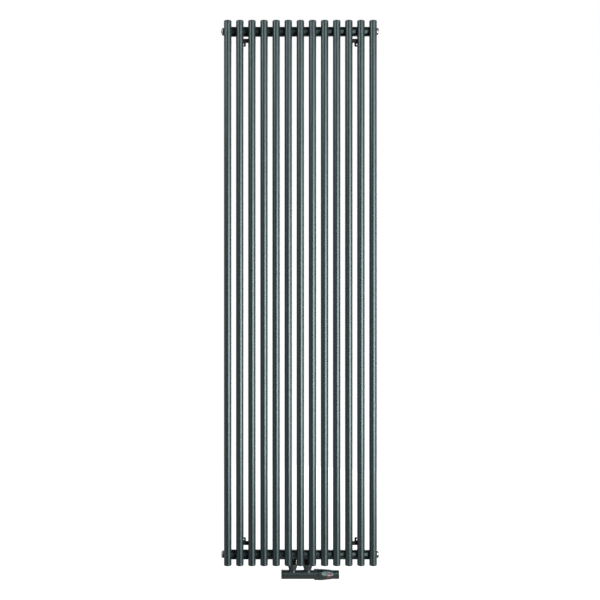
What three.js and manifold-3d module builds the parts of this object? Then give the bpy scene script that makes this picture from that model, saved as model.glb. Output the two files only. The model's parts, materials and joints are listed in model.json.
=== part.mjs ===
// A tall steel tube radiator with a twin-port valve and a thermostatic head.
//
// Millimetres. +X runs to the right as seen from the room, -Y points into the room and +Z is up.
// The origin lies on the wall plane (y = 0), on the middle tube's line, half way up the tubes.

import * as THREE from 'three';
import { mergeVertices } from 'three/addons/utils/BufferGeometryUtils.js';
import Module from 'manifold-3d';

const wasm = await Module();
wasm.setup();

// ---------- driving dimensions ----------

const CLEARANCE = 0.3; // between faces that would touch

// Tubes
const TUBE_COUNT = 13;
const TUBE_PITCH = 40;
const TUBE_LENGTH = 1800;
const TUBE_RADIUS = 12.5;
const TUBE_WALL = 1.5;
const TUBE_CAP = 3; // thickness of the welded end cap
const TUBE_EDGE = 2.2; // chamfer round each end
const TUBE_Y = -85.5;
const WATER_PORT_RADIUS = 5; // between a tube and a header

// Headers, the two horizontal collectors behind the tubes
const HEADER_Z = 870;
const HEADER_Y = -60;
const HEADER_RADIUS = 16;
const HEADER_WALL = 2;
const HEADER_HALF = 252;
const END_THREAD_RADIUS = 10.45; // half inch thread in each end and in the valve bosses
const END_THREAD_DEPTH = 14;
const BOSS_RADIUS = 13;
const BOSS_REACH = 18; // below the bottom header's axis

// Fixings: four welded hanger strips, each with a peg that slides into a wall sleeve
const HANGER_INNER_X = 151;
const HANGER_OUTER_X = 213;
const HANGER_THICK = 5;
const HANGER_HEIGHT = 13;
const HANGER_TOP_Z = 837;
const HANGER_BOTTOM_Z = -830;
const TAB_HALF = 9.3; // a square tab under the strip, with the eye in it
const TAB_DROP = 19; // from the strip's middle line to the tab's end
const TAB_CORNER = 2.5;
const EYE_X = 189.5;
const EYE_DROP = 12;
const EYE_HOLE_RADIUS = 3.4;
const PEG_X = 205;
const PEG_RADIUS = 5;
const PEG_END_Y = -20;
const SLEEVE_RADIUS = 9;
const SLEEVE_LENGTH = 45;
const SLEEVE_BORE_RADIUS = 5.3;
const SLEEVE_BASE = 10;
const WALL_HOLE_RADIUS = 2.75;
const GRUB_Y = -37;
const GRUB_RADIUS = 2.4;

// Valve: a horizontal barrel under the bottom header, on two unions 50 mm apart
const PORT_X = 25;
const VALVE_Y = HEADER_Y;
const VALVE_Z = -937.2;
const BARREL_RADIUS = 15;
const BARREL_HALF = 46.5;
const SEAT_X = 19; // face of each valve seat, from the middle of the barrel
const SEAT_RADIUS = 5;
const MOUTH_X = 34; // where the threaded mouth begins
const MOUTH_RADIUS = 10;
const TAIL_FLANGE_RADIUS = 12;
const TAIL_FLANGE_THICK = 3.2;
const TAIL_TOP_Z = 28.4;
const NECK_BOSS_RADIUS = 12; // the round foot of each tail, under its nut
const NECK_BOSS_TOP_Z = 16.2;
const REAR_PORT_RADIUS = 13.2;
const REAR_PORT_REACH = 34; // behind the barrel's axis
const REAR_BORE_RADIUS = 6.25;

// Facets round each kind of turned piece
const TUBE_SIDES = 16;
const HEADER_SIDES = 16;
const FINE_SIDES = 16;
const SIDES = 12;
const SMALL_SIDES = 8;

// ---------- materials ----------

function finish(color, roughness, metalness) {
  return new THREE.MeshStandardMaterial({ color, roughness, metalness });
}

const ANTHRACITE = finish(0x3a4244, 0.4, 0.1);
const BLACK_PAINT = finish(0x16191a, 0.5, 0.1);
const NICKEL = finish(0xb9b7ad, 0.25, 1.0);
const BRASS = finish(0xb08d4a, 0.35, 1.0);
const ZINC = finish(0xa7abad, 0.4, 1.0);
const SPRING_STEEL = finish(0x8b8f92, 0.35, 1.0);
const RUBBER = finish(0x151515, 0.8, 0.0);
const GREY_PLASTIC = finish(0x3c4345, 0.45, 0.0);
const WHITE_PLASTIC = finish(0xe8e8e4, 0.5, 0.0);

// ---------- closed solids from three.js geometry ----------

const MERGE_DISTANCE = 1e-4;

// A lathe turns about its own Y axis; these stand that axis along X, Y or Z.
const STAND_ALONG = {
  x: new THREE.Matrix4().makeRotationZ(-Math.PI / 2),
  y: new THREE.Matrix4(),
  z: new THREE.Matrix4().makeRotationX(Math.PI / 2),
};

function signedVolume(geometry) {
  const position = geometry.attributes.position;
  const [a, b, c] = [new THREE.Vector3(), new THREE.Vector3(), new THREE.Vector3()];
  let sum = 0;
  for (let i = 0; i < geometry.index.count; i += 3) {
    a.fromBufferAttribute(position, geometry.index.getX(i));
    b.fromBufferAttribute(position, geometry.index.getX(i + 1));
    c.fromBufferAttribute(position, geometry.index.getX(i + 2));
    sum += a.dot(b.cross(c)) / 6;
  }
  return sum;
}

// Merges shared corners, drops collapsed triangles and turns the faces outwards.
function closed(geometry) {
  geometry.deleteAttribute('normal');
  geometry.deleteAttribute('uv');
  const merged = mergeVertices(geometry, MERGE_DISTANCE);
  const corners = [];
  for (let i = 0; i < merged.index.count; i += 3) {
    const [a, b, c] = merged.index.array.slice(i, i + 3);
    if (a !== b && b !== c && c !== a) {
      corners.push(a, b, c);
    }
  }
  merged.setIndex(corners);
  if (signedVolume(merged) < 0) {
    merged.setIndex(corners.reverse());
  }
  return merged;
}

function toManifold(geometry) {
  const vertProperties = new Float32Array(geometry.attributes.position.array);
  const triVerts = new Uint32Array(geometry.index.array);
  return new wasm.Manifold(new wasm.Mesh({ numProp: 3, vertProperties, triVerts }));
}

function fromManifold(manifold) {
  const { vertProperties, triVerts } = manifold.getMesh();
  const geometry = new THREE.BufferGeometry();
  geometry.setAttribute('position', new THREE.BufferAttribute(new Float32Array(vertProperties), 3));
  geometry.setIndex(Array.from(triVerts));
  return geometry;
}

function join(...pieces) {
  return fromManifold(pieces.map(toManifold).reduce((sum, piece) => sum.add(piece)));
}

function cut(base, ...tools) {
  return fromManifold(tools.map(toManifold).reduce((rest, tool) => rest.subtract(tool), toManifold(base)));
}

function common(one, other) {
  return fromManifold(toManifold(one).intersect(toManifold(other)));
}

// A turned profile; each point is [distance along the axis, radius].
function turned(axis, profile, sides) {
  const outline = profile.map(([along, radius]) => new THREE.Vector2(radius, along));
  return closed(new THREE.LatheGeometry(outline, sides).applyMatrix4(STAND_ALONG[axis]));
}

function rod(axis, steps, sides = SIDES) {
  const start = [steps[0][0], 0];
  const end = [steps.at(-1)[0], 0];
  return turned(axis, [start, ...steps, end], sides);
}

function ring(axis, outside, inside, sides = SIDES) {
  return turned(axis, [...outside, ...inside.toReversed(), outside[0]], sides);
}

function cylinder(axis, from, to, radius, sides = SIDES) {
  return rod(axis, [[from, radius], [to, radius]], sides);
}

function hexagon(axis, from, to, acrossFlats) {
  return cylinder(axis, from, to, acrossFlats / Math.sqrt(3), 6);
}

// The same profile measured the other way along its axis when side is -1.
function towards(side, profile) {
  return profile.map(([along, radius]) => [side * along, radius]);
}

function part(name, geometry, material, x = 0, y = 0, z = 0) {
  geometry.computeVertexNormals();
  const mesh = new THREE.Mesh(geometry, material);
  mesh.name = name;
  mesh.position.set(x, y, z);
  return mesh;
}

// ---------- radiator panel ----------

function tubeX(index) {
  return (index - (TUBE_COUNT - 1) / 2) * TUBE_PITCH;
}

// One tube about its own axis, capped at both ends, with a water port to each header.
function tube() {
  const half = TUBE_LENGTH / 2;
  const bore = TUBE_RADIUS - TUBE_WALL;
  const outside = rod('z', [
    [-half, TUBE_RADIUS - TUBE_EDGE],
    [TUBE_EDGE - half, TUBE_RADIUS],
    [half - TUBE_EDGE, TUBE_RADIUS],
    [half, TUBE_RADIUS - TUBE_EDGE],
  ], TUBE_SIDES);
  const water = cylinder('z', TUBE_CAP - half, half - TUBE_CAP, bore, TUBE_SIDES);
  const ports = [-HEADER_Z, HEADER_Z].map(
    (z) => cylinder('y', bore / 2, TUBE_RADIUS + 1, WATER_PORT_RADIUS, SMALL_SIDES).translate(0, 0, z),
  );
  return cut(outside, water, ...ports);
}

// A header about its own axis, notched where each tube is welded in.
function header(bosses) {
  const inside = HEADER_RADIUS - HEADER_WALL;
  const closedHalf = HEADER_HALF - END_THREAD_DEPTH;
  const bossXs = bosses ? [-PORT_X, PORT_X] : [];
  const outer = cylinder('x', -HEADER_HALF, HEADER_HALF, HEADER_RADIUS, HEADER_SIDES);
  const bossSolids = bossXs.map(
    (x) => cylinder('z', -BOSS_REACH, -HEADER_RADIUS / 2, BOSS_RADIUS, FINE_SIDES).translate(x, 0, 0),
  );
  const cuts = [
    cylinder('x', -closedHalf, closedHalf, inside, HEADER_SIDES),
    cylinder('x', -HEADER_HALF - 1, HEADER_HALF + 1, END_THREAD_RADIUS, HEADER_SIDES),
  ];
  for (let i = 0; i < TUBE_COUNT; i++) {
    const saddle = cylinder('z', -HEADER_RADIUS - 1, HEADER_RADIUS + 1, TUBE_RADIUS + CLEARANCE, TUBE_SIDES);
    cuts.push(saddle.translate(tubeX(i), TUBE_Y - HEADER_Y, 0));
  }
  for (const x of bossXs) {
    const thread = cylinder('z', -BOSS_REACH - 1, -HEADER_RADIUS / 2, END_THREAD_RADIUS, FINE_SIDES);
    cuts.push(thread.translate(x, 0, 0));
  }
  return cut(join(outer, ...bossSolids), ...cuts);
}

// A strip across the backs of two tubes, with a tab below it that holds the eye, and a peg behind it.
// It is drawn for the top right corner; sideX and sideZ mirror it for the other three.
function hanger(sideX, sideZ) {
  const edge = HANGER_HEIGHT / 2;
  const tabLeft = EYE_X - TAB_HALF;
  const tabRight = EYE_X + TAB_HALF;
  const cornerZ = TAB_CORNER - TAB_DROP;
  const outline = new THREE.Shape();
  outline.moveTo(HANGER_INNER_X, -edge);
  outline.lineTo(tabLeft, -edge);
  outline.lineTo(tabLeft, cornerZ);
  outline.absarc(tabLeft + TAB_CORNER, cornerZ, TAB_CORNER, Math.PI, 1.5 * Math.PI);
  outline.absarc(tabRight - TAB_CORNER, cornerZ, TAB_CORNER, 1.5 * Math.PI, 2 * Math.PI);
  outline.lineTo(tabRight, -edge);
  outline.lineTo(HANGER_OUTER_X, -edge);
  outline.lineTo(HANGER_OUTER_X, edge);
  outline.lineTo(HANGER_INNER_X, edge);
  const eye = new THREE.Path();
  eye.absarc(EYE_X, -EYE_DROP, EYE_HOLE_RADIUS, 0, 2 * Math.PI);
  outline.holes.push(eye);
  const plate = new THREE.ExtrudeGeometry(outline, {
    depth: HANGER_THICK,
    bevelEnabled: false,
    curveSegments: SMALL_SIDES / 2,
  });
  const backY = TUBE_Y + TUBE_RADIUS + CLEARANCE + HANGER_THICK;
  plate.rotateX(Math.PI / 2).translate(0, backY, 0).scale(sideX, 1, sideZ);
  const peg = rod('y', [
    [backY - 1, PEG_RADIUS],
    [PEG_END_Y - 1, PEG_RADIUS],
    [PEG_END_Y, PEG_RADIUS - 1],
  ]);
  return join(closed(plate), peg.translate(sideX * PEG_X, 0, 0));
}

// ---------- wall fixings ----------

// A sleeve standing out of the wall, with a blind bore for the peg and a radial clamp screw hole.
function wallSleeve() {
  const body = ring(
    'y',
    [[-SLEEVE_LENGTH, SLEEVE_RADIUS - 0.8], [0.8 - SLEEVE_LENGTH, SLEEVE_RADIUS], [0, SLEEVE_RADIUS]],
    [
      [-SLEEVE_LENGTH, SLEEVE_BORE_RADIUS],
      [-SLEEVE_BASE, SLEEVE_BORE_RADIUS],
      [-SLEEVE_BASE, WALL_HOLE_RADIUS],
      [0, WALL_HOLE_RADIUS],
    ],
  );
  const clampHole = cylinder(
    'z', -SLEEVE_RADIUS - 1, 1 - SLEEVE_BORE_RADIUS, GRUB_RADIUS + CLEARANCE, SMALL_SIDES,
  );
  return cut(body, clampHole.translate(0, GRUB_Y, 0));
}

function grubScrew() {
  const outer = -SLEEVE_RADIUS - 0.6;
  const inner = -PEG_RADIUS - CLEARANCE;
  const body = rod('z', [
    [outer, GRUB_RADIUS],
    [inner - 0.6, GRUB_RADIUS],
    [inner, GRUB_RADIUS - 0.6],
  ], SMALL_SIDES);
  return cut(body, hexagon('z', outer - 1, outer + 2, 2.5)).translate(0, GRUB_Y, 0);
}

// ---------- header ends ----------

const SEAL_SECTION = 0.95; // radius of an O-ring's section
const SEAL_RADIUS = 11.4;
const SEAL_X = HEADER_HALF + CLEARANCE / 2 + SEAL_SECTION;
const FLANGE_X = SEAL_X + SEAL_SECTION + CLEARANCE;
const SHANK_START_X = HEADER_HALF - END_THREAD_DEPTH + 3;
const SHANK_RADIUS = END_THREAD_RADIUS - CLEARANCE;
const PLUG_END_X = 262;

function endSeal(side) {
  const seal = new THREE.TorusGeometry(SEAL_RADIUS, SEAL_SECTION, 5, FINE_SIDES);
  seal.rotateY(Math.PI / 2);
  return closed(seal.translate(side * SEAL_X, 0, 0));
}

// A threaded plug with a domed flange and a hexagon socket.
function endPlug(side) {
  const body = rod('x', towards(side, [
    [SHANK_START_X, SHANK_RADIUS - 1],
    [SHANK_START_X + 1, SHANK_RADIUS],
    [FLANGE_X, SHANK_RADIUS],
    [FLANGE_X, 12.5],
    [PLUG_END_X - 2.5, 12.5],
    [PLUG_END_X - 0.7, 11.4],
    [PLUG_END_X, 9],
  ]), FINE_SIDES);
  return cut(body, hexagon('x', side * (PLUG_END_X - 6), side * (PLUG_END_X + 1), 8));
}

// Air vent: a threaded body, a coned collar that turns on it, and the bleed screw in its middle.
const VENT_NECK_RADIUS = 6;
const VENT_SCREW_RADIUS = 3;
const VENT_COLLAR_X = 257.2;

function ventBody(side) {
  const outside = [
    [SHANK_START_X, SHANK_RADIUS - 1],
    [SHANK_START_X + 1, SHANK_RADIUS],
    [FLANGE_X, SHANK_RADIUS],
    [FLANGE_X, 13],
    [VENT_COLLAR_X - CLEARANCE, 13],
    [VENT_COLLAR_X - CLEARANCE, VENT_NECK_RADIUS],
    [PLUG_END_X - 0.2, VENT_NECK_RADIUS],
  ];
  const inside = [
    [SHANK_START_X, 1.5],
    [HEADER_HALF - 4, 1.5],
    [HEADER_HALF - 4, VENT_SCREW_RADIUS + CLEARANCE],
    [PLUG_END_X - 0.2, VENT_SCREW_RADIUS + CLEARANCE],
  ];
  return ring('x', towards(side, outside), towards(side, inside), FINE_SIDES);
}

function ventCollar(side) {
  const bore = VENT_NECK_RADIUS + CLEARANCE;
  const cone = ring(
    'x',
    towards(side, [[VENT_COLLAR_X, 12.6], [PLUG_END_X - 3.6, 12], [PLUG_END_X - 0.6, 8.6]]),
    towards(side, [[VENT_COLLAR_X, bore], [PLUG_END_X - 0.6, bore]]),
    FINE_SIDES,
  );
  const outlet = cylinder('z', -14, -bore + 1, 0.9, 8);
  return cut(cone, outlet.translate(side * (VENT_COLLAR_X + 1.8), 0, 0));
}

function ventScrew(side) {
  const tip = PLUG_END_X + 1.5;
  const body = rod('x', towards(side, [
    [HEADER_HALF - 3.7, 0.8],
    [HEADER_HALF - 1, VENT_SCREW_RADIUS],
    [tip - 0.5, VENT_SCREW_RADIUS],
    [tip, VENT_SCREW_RADIUS - 0.5],
  ]), SMALL_SIDES);
  const slot = new THREE.BoxGeometry(2.4, 0.9, 3 * VENT_SCREW_RADIUS).translate(side * tip, 0, 0);
  return cut(body, closed(slot));
}

// ---------- unions between the bottom header and the valve ----------
// Heights in this section are measured from the origin of the whole radiator.

const BOSS_FACE_Z = -HEADER_Z - BOSS_REACH;
const NIPPLE_BOTTOM_Z = -906.5;
const NIPPLE_THREAD_RADIUS = 13.1;
const NIPPLE_BORE_RADIUS = 7;
const UNION_SEAL_BOTTOM_Z = -908.5;
const NUT_TOP_Z = -901.5;
const NUT_SHOULDER_Z = -912.3;
const NUT_BOTTOM_Z = -920.5;
const NUT_RADIUS = 16.5;
const NUT_NECK_RADIUS = 12.3;
const TAIL_NECK_RADIUS = 9.7;

// Screws into the header's boss; its lower thread takes the union nut.
function nipple() {
  const collarTop = BOSS_FACE_Z - CLEARANCE;
  const collarBottom = collarTop - 6;
  const threads = rod('z', [
    [NIPPLE_BOTTOM_Z, NIPPLE_THREAD_RADIUS],
    [collarBottom - 0.2, NIPPLE_THREAD_RADIUS],
    [collarTop, NIPPLE_THREAD_RADIUS - 1],
    [collarTop, SHANK_RADIUS],
    [-HEADER_Z - 9, SHANK_RADIUS],
  ], FINE_SIDES);
  const collar = hexagon('z', collarBottom, collarTop, 24);
  return cut(join(threads, collar), cylinder('z', NIPPLE_BOTTOM_Z - 1, -HEADER_Z, NIPPLE_BORE_RADIUS));
}

function unionSeal() {
  const top = NIPPLE_BOTTOM_Z - CLEARANCE;
  return ring(
    'z',
    [[UNION_SEAL_BOTTOM_Z, TAIL_FLANGE_RADIUS], [top, TAIL_FLANGE_RADIUS]],
    [[UNION_SEAL_BOTTOM_Z, NIPPLE_BORE_RADIUS], [top, NIPPLE_BORE_RADIUS]],
    FINE_SIDES,
  );
}

// A conical nut with spanner flats round its wide end.
function unionNut() {
  const body = ring(
    'z',
    [[NUT_BOTTOM_Z, NUT_NECK_RADIUS], [NUT_TOP_Z - 4, NUT_RADIUS], [NUT_TOP_Z, NUT_RADIUS]],
    [
      [NUT_BOTTOM_Z, TAIL_NECK_RADIUS + CLEARANCE],
      [NUT_SHOULDER_Z, TAIL_NECK_RADIUS + CLEARANCE],
      [NUT_SHOULDER_Z, NIPPLE_THREAD_RADIUS + CLEARANCE],
      [NUT_TOP_Z, NIPPLE_THREAD_RADIUS + CLEARANCE],
    ],
    FINE_SIDES,
  );
  return common(body, hexagon('z', NUT_BOTTOM_Z - 1, NUT_TOP_Z + 1, 31));
}

// ---------- valve body ----------
// From here on, lengths along X and radii are measured from the middle of the barrel's axis.

// The water spaces on one side: flow chamber, seat, control chamber, mouth and the three ways out.
function waterWays(side) {
  const x = side * PORT_X;
  const chamberRadius = 8;
  const controlRadius = 9;
  const along = (from, to, radius) => cylinder('x', side * from, side * to, radius, FINE_SIDES);
  const rearBoreStart = REAR_PORT_REACH - 12;
  const inner = new THREE.Vector3(side * 9, 2, 0);
  const outer = new THREE.Vector3(x, rearBoreStart + 2, 0);
  const slant = new THREE.Vector3().subVectors(outer, inner);
  const link = cylinder('y', 0, slant.length(), 4, SMALL_SIDES);
  const turn = new THREE.Quaternion().setFromUnitVectors(new THREE.Vector3(0, 1, 0), slant.normalize());
  link.applyQuaternion(turn).translate(inner.x, inner.y, inner.z);
  return [
    along(4, SEAT_X - 5, chamberRadius),
    along(SEAT_X - 6, SEAT_X + 1, SEAT_RADIUS),
    along(SEAT_X, MOUTH_X + 1, controlRadius),
    along(MOUTH_X, BARREL_HALF + 1, MOUTH_RADIUS),
    cylinder('z', 0, TAIL_TOP_Z + 1, 6).translate(x, 0, 0),
    cylinder('y', rearBoreStart, REAR_PORT_REACH + 1, REAR_BORE_RADIUS).translate(x, 0, 0),
    link,
  ];
}

function valveBody() {
  const barrel = rod('x', [
    [-BARREL_HALF, BARREL_RADIUS - 0.8],
    [0.8 - BARREL_HALF, BARREL_RADIUS],
    [BARREL_HALF - 0.8, BARREL_RADIUS],
    [BARREL_HALF, BARREL_RADIUS - 0.8],
  ], FINE_SIDES);
  const limbs = [];
  for (const x of [-PORT_X, PORT_X]) {
    const tail = rod('z', [
      [BARREL_RADIUS / 2, NECK_BOSS_RADIUS],
      [NECK_BOSS_TOP_Z, NECK_BOSS_RADIUS],
      [NECK_BOSS_TOP_Z, TAIL_NECK_RADIUS],
      [TAIL_TOP_Z - TAIL_FLANGE_THICK, TAIL_NECK_RADIUS],
      [TAIL_TOP_Z - TAIL_FLANGE_THICK, TAIL_FLANGE_RADIUS],
      [TAIL_TOP_Z, TAIL_FLANGE_RADIUS],
    ], FINE_SIDES);
    const rear = rod('y', [
      [BARREL_RADIUS / 2, REAR_PORT_RADIUS],
      [REAR_PORT_REACH - 1, REAR_PORT_RADIUS],
      [REAR_PORT_REACH, REAR_PORT_RADIUS - 1],
    ], FINE_SIDES);
    limbs.push(tail.translate(x, 0, 0), rear.translate(x, 0, 0));
  }
  return cut(join(barrel, ...limbs), ...waterWays(-1), ...waterWays(1));
}

// ---------- thermostatic insert, in the right-hand mouth ----------

const MOUTH_THREAD_RADIUS = MOUTH_RADIUS - CLEARANCE;
const INSERT_THREAD_END_X = 57; // end of the M30 thread that the head screws onto
const INSERT_THREAD_RADIUS = 14.7;
const INSERT_CAVITY_RADIUS = 6;
const GLAND_END_X = 60;
const STEM_RADIUS = 2;
const STEM_COLLAR_X = 46;
const PIN_END_X = 62.5;
const SPRING_FIXED_X = 35;

function insertBody() {
  return ring(
    'x',
    [
      [MOUTH_X - 4, 8.6],
      [MOUTH_X + CLEARANCE, 8.6],
      [MOUTH_X + CLEARANCE, MOUTH_THREAD_RADIUS],
      [BARREL_HALF + CLEARANCE, MOUTH_THREAD_RADIUS],
      [BARREL_HALF + CLEARANCE, INSERT_THREAD_RADIUS],
      [INSERT_THREAD_END_X - 0.8, INSERT_THREAD_RADIUS],
      [INSERT_THREAD_END_X, INSERT_THREAD_RADIUS - 0.8],
    ],
    [
      [MOUTH_X - 4, STEM_RADIUS + 0.5],
      [SPRING_FIXED_X - CLEARANCE, STEM_RADIUS + 0.5],
      [SPRING_FIXED_X - CLEARANCE, INSERT_CAVITY_RADIUS],
      [INSERT_THREAD_END_X, INSERT_CAVITY_RADIUS],
    ],
    FINE_SIDES,
  );
}

// Closes the insert round the pin.
function insertGland() {
  const radius = INSERT_CAVITY_RADIUS - CLEARANCE;
  const start = STEM_COLLAR_X + 5;
  return ring(
    'x',
    [[start, radius], [GLAND_END_X - 0.5, radius], [GLAND_END_X, radius - 0.5]],
    [[start, STEM_RADIUS + CLEARANCE], [GLAND_END_X, STEM_RADIUS + CLEARANCE]],
  );
}

// The closing disc, its stem with the spring collar, and the pin that the head pushes.
function insertStem() {
  const discStart = SEAT_X + 1.9;
  return rod('x', [
    [discStart, 6.4],
    [discStart + 0.6, 7],
    [discStart + 3.4, 7],
    [discStart + 3.4, STEM_RADIUS],
    [STEM_COLLAR_X, STEM_RADIUS],
    [STEM_COLLAR_X, INSERT_CAVITY_RADIUS - 0.8],
    [STEM_COLLAR_X + 1.6, INSERT_CAVITY_RADIUS - 0.8],
    [STEM_COLLAR_X + 1.6, STEM_RADIUS],
    [PIN_END_X - 0.4, STEM_RADIUS],
    [PIN_END_X, STEM_RADIUS - 0.4],
  ]);
}

class Helix extends THREE.Curve {
  constructor(radius, start, end, turns) {
    super();
    Object.assign(this, { radius, start, end, turns });
  }

  getPoint(t, target = new THREE.Vector3()) {
    const angle = 2 * Math.PI * this.turns * t;
    const x = THREE.MathUtils.lerp(this.start, this.end, t);
    return target.set(x, this.radius * Math.cos(angle), this.radius * Math.sin(angle));
  }
}

// The return spring, between the insert's inner ledge and the stem's collar.
function insertSpring() {
  const wire = 0.5;
  const turns = 4;
  const section = new THREE.Shape();
  section.absarc(0, 0, wire, 0, 2 * Math.PI);
  const start = SPRING_FIXED_X + wire;
  const end = STEM_COLLAR_X - CLEARANCE - wire;
  return closed(new THREE.ExtrudeGeometry(section, {
    steps: turns * SMALL_SIDES,
    curveSegments: 3,
    bevelEnabled: false,
    extrudePath: new Helix(3.8, start, end, turns),
  }));
}

// ---------- thermostatic head ----------

const NUT_START_X = BARREL_HALF + 0.4;
const NUT_VISIBLE_END_X = 55.8;
const NUT_LIP_X = 60;
const NUT_END_X = 61.5;
const HANDLE_START_X = 56.1;
const HANDLE_END_X = 129.5;
const HANDLE_WALL = 2.8; // thickness of the end wall
const CAPSULE_RADIUS = 9;
const CAPSULE_START_X = 76;
const CAPSULE_END_X = 104;
const CAPSULE_TAIL_END_X = 118;
const CAPSULE_TAIL_RADIUS = 5.9;
const CARRIER_RADIUS = 12.2;
const CARRIER_END_X = 96;
const DISH_COUNT = 4;
const DISH_FIRST_ANGLE = 32; // degrees above the direction into the room
const DISH_X = 91.7;
const DISH_REACH = 19.3; // from the head's axis to the dish's middle
const DISH_HALVES = [19, 3, 9]; // along the head, into it and across it
const DISH_TILT = 0.06; // follows the narrowing grip
const HANDLE_OUTLINE = [
  [HANDLE_START_X, 17.9],
  [HANDLE_START_X + 0.9, 18.5],
  [69, 18.8],
  [82, 18.15],
  [92, 17.3],
  [98.6, 16.6],
  [104, 15.8],
  [108.6, 14.7],
  [HANDLE_END_X - 1, 14.7],
  [HANDLE_END_X, 13.7],
  [HANDLE_END_X, 0],
];

// Ribbed ring that clamps the head's carrier to the insert's thread.
function headNut() {
  const gripRadius = 18.5;
  const body = ring(
    'x',
    [
      [NUT_START_X, gripRadius - 0.8],
      [NUT_START_X + 0.8, gripRadius],
      [NUT_VISIBLE_END_X, gripRadius],
      [NUT_VISIBLE_END_X, 16.6],
      [NUT_END_X, 16.6],
    ],
    [
      [NUT_START_X, INSERT_THREAD_RADIUS + CLEARANCE],
      [NUT_LIP_X, INSERT_THREAD_RADIUS + CLEARANCE],
      [NUT_LIP_X, CARRIER_RADIUS + CLEARANCE],
      [NUT_END_X, CARRIER_RADIUS + CLEARANCE],
    ],
    FINE_SIDES,
  );
  const grooves = [];
  const grooveCount = 12;
  for (let i = 0; i < grooveCount; i++) {
    const groove = cylinder('x', NUT_START_X + 2, NUT_VISIBLE_END_X - 1.2, 0.8, 6);
    groove.translate(0, -gripRadius - 0.2, 0).rotateX((2 * Math.PI * i) / grooveCount);
    grooves.push(groove);
  }
  return cut(body, ...grooves);
}

// The fixed inner sleeve: its flange is held by the nut, and the sensor slides in its bore.
function headCarrier() {
  const start = INSERT_THREAD_END_X + CLEARANCE;
  const step = CAPSULE_START_X - 2;
  return ring(
    'x',
    [
      [start, INSERT_THREAD_RADIUS],
      [NUT_LIP_X - CLEARANCE, INSERT_THREAD_RADIUS],
      [NUT_LIP_X - CLEARANCE, CARRIER_RADIUS],
      [CARRIER_END_X, CARRIER_RADIUS],
    ],
    [[start, 7], [step, 7], [step, CAPSULE_RADIUS + CLEARANCE], [CARRIER_END_X, CAPSULE_RADIUS + CLEARANCE]],
    FINE_SIDES,
  );
}

// Wax capsule with the push pin in front and a threaded tail behind.
function sensorCapsule() {
  return rod('x', [
    [PIN_END_X + CLEARANCE, 3],
    [CAPSULE_START_X, 3],
    [CAPSULE_START_X, CAPSULE_RADIUS - 1],
    [CAPSULE_START_X + 1, CAPSULE_RADIUS],
    [CAPSULE_END_X, CAPSULE_RADIUS],
    [CAPSULE_END_X, CAPSULE_TAIL_RADIUS],
    [CAPSULE_TAIL_END_X, CAPSULE_TAIL_RADIUS],
  ]);
}

// The turning shell: a bulged grip that narrows to a plain nose, with shallow thumb dishes.
function headHandle() {
  const wallX = HANDLE_END_X - HANDLE_WALL;
  const hubStart = CAPSULE_END_X + 4.5;
  const hubBore = CAPSULE_TAIL_RADIUS + CLEARANCE + 0.1;
  const shell = ring(
    'x',
    HANDLE_OUTLINE,
    [
      [HANDLE_START_X, 17],
      [NUT_END_X + 1, 17],
      [NUT_END_X + 1, 16],
      [80, 16],
      [80, 14.6],
      [98, 14.6],
      [98, 12.6],
      [wallX, 12.6],
      [wallX, 8.4],
      [hubStart, 8.4],
      [hubStart, hubBore],
      [wallX, hubBore],
      [wallX, 0],
    ],
    FINE_SIDES,
  );
  const dishes = [];
  for (let i = 0; i < DISH_COUNT; i++) {
    const dish = new THREE.SphereGeometry(1, 10, 6).scale(...DISH_HALVES);
    const angle = THREE.MathUtils.degToRad(DISH_FIRST_ANGLE + (360 * i) / DISH_COUNT);
    dish.rotateZ(-DISH_TILT).translate(DISH_X, -DISH_REACH, 0).rotateX(-angle);
    dishes.push(closed(dish));
  }
  return cut(shell, ...dishes);
}

// ---------- lockshield, in the left-hand mouth ----------
// Its profiles are measured outwards from the middle of the barrel.

const LEFT = -1;
const SPINDLE_RADIUS = 4.9;
const SPINDLE_START = 36;
const SPINDLE_END = 49;
const CONE_STEM_RADIUS = 2.8;
const LOCKSHIELD_FLANGE = 3;

function lockshieldInsert() {
  const bore = SPINDLE_RADIUS + CLEARANCE;
  const flangeStart = BARREL_HALF + CLEARANCE;
  return ring(
    'x',
    towards(LEFT, [
      [MOUTH_X + CLEARANCE, MOUTH_THREAD_RADIUS],
      [flangeStart, MOUTH_THREAD_RADIUS],
      [flangeStart, 12.8],
      [flangeStart + LOCKSHIELD_FLANGE, 12.8],
    ]),
    towards(LEFT, [[MOUTH_X + CLEARANCE, bore], [flangeStart + LOCKSHIELD_FLANGE, bore]]),
    FINE_SIDES,
  );
}

function lockshieldSpindle() {
  const body = rod('x', towards(LEFT, [[SPINDLE_START, SPINDLE_RADIUS], [SPINDLE_END, SPINDLE_RADIUS]]));
  const stemBore = CONE_STEM_RADIUS + CLEARANCE;
  return cut(
    body,
    cylinder('x', LEFT * (SPINDLE_START - 1), LEFT * (SPINDLE_END - 5.5), stemBore),
    hexagon('x', LEFT * (SPINDLE_END - 4), LEFT * (SPINDLE_END + 1), 5),
  );
}

function lockshieldCone() {
  return rod('x', towards(LEFT, [
    [SEAT_X + 3.2, 3.5],
    [SEAT_X + 6.5, 7],
    [SEAT_X + 9, 7],
    [SEAT_X + 9, CONE_STEM_RADIUS],
    [SPINDLE_END - 6.5, CONE_STEM_RADIUS],
  ]));
}

function lockshieldCap() {
  const start = BARREL_HALF + CLEARANCE;
  const end = 62.6;
  return ring(
    'x',
    towards(LEFT, [[start, BARREL_RADIUS], [end - 1.2, BARREL_RADIUS], [end, BARREL_RADIUS - 1.2], [end, 0]]),
    towards(LEFT, [[start, 13.3], [end - 2, 13.3], [end - 2, 0]]),
    FINE_SIDES,
  );
}

// ---------- assembly ----------

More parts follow.
